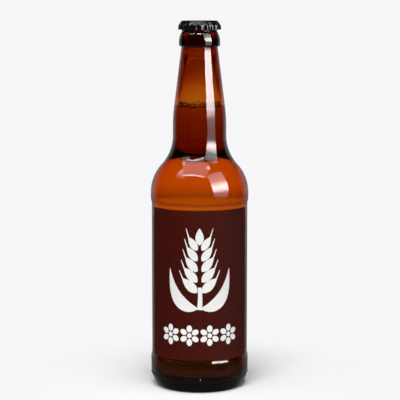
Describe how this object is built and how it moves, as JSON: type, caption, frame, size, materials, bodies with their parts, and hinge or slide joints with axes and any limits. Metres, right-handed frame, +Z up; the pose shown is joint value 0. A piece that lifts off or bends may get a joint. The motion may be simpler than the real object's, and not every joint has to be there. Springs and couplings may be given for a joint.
{
  "type": "beer bottle",
  "caption": "Capped amber glass longneck bottle, filled, with a wrap-around front paper label in a recessed panel and a crimped crown closure.",
  "frame": {"origin": "centre of the base, on the surface the bottle stands on", "axes": "+Z up along the bottle's axis, -Y towards the label (the front)"},
  "size_m": [0.0656, 0.0656, 0.2455],
  "materials": {
    "amber_glass": "clear brown, smooth",
    "beer": "clear amber liquid",
    "foam": "fine bubbles",
    "black_enamel": "glossy black lacquer on tin-free steel",
    "liner": "soft moulded compound",
    "label_paper": "dark brown print with a white emblem",
    "glue": "dried casein film"
  },
  "bodies": {
    "bottle": {"glass_bottle": "amber_glass", "beer": "beer", "foam_collar": "foam", "front_label": "label_paper", "label_glue": "glue"},
    "cap": {"crown_cap": "black_enamel", "cap_liner": "liner"}
  },
  "joints": [
    {"name": "cap_lift", "type": "slide", "parent": "bottle", "child": "cap", "axis": [0, 0, 1], "range_m": [0, 0.06]}
  ]
}
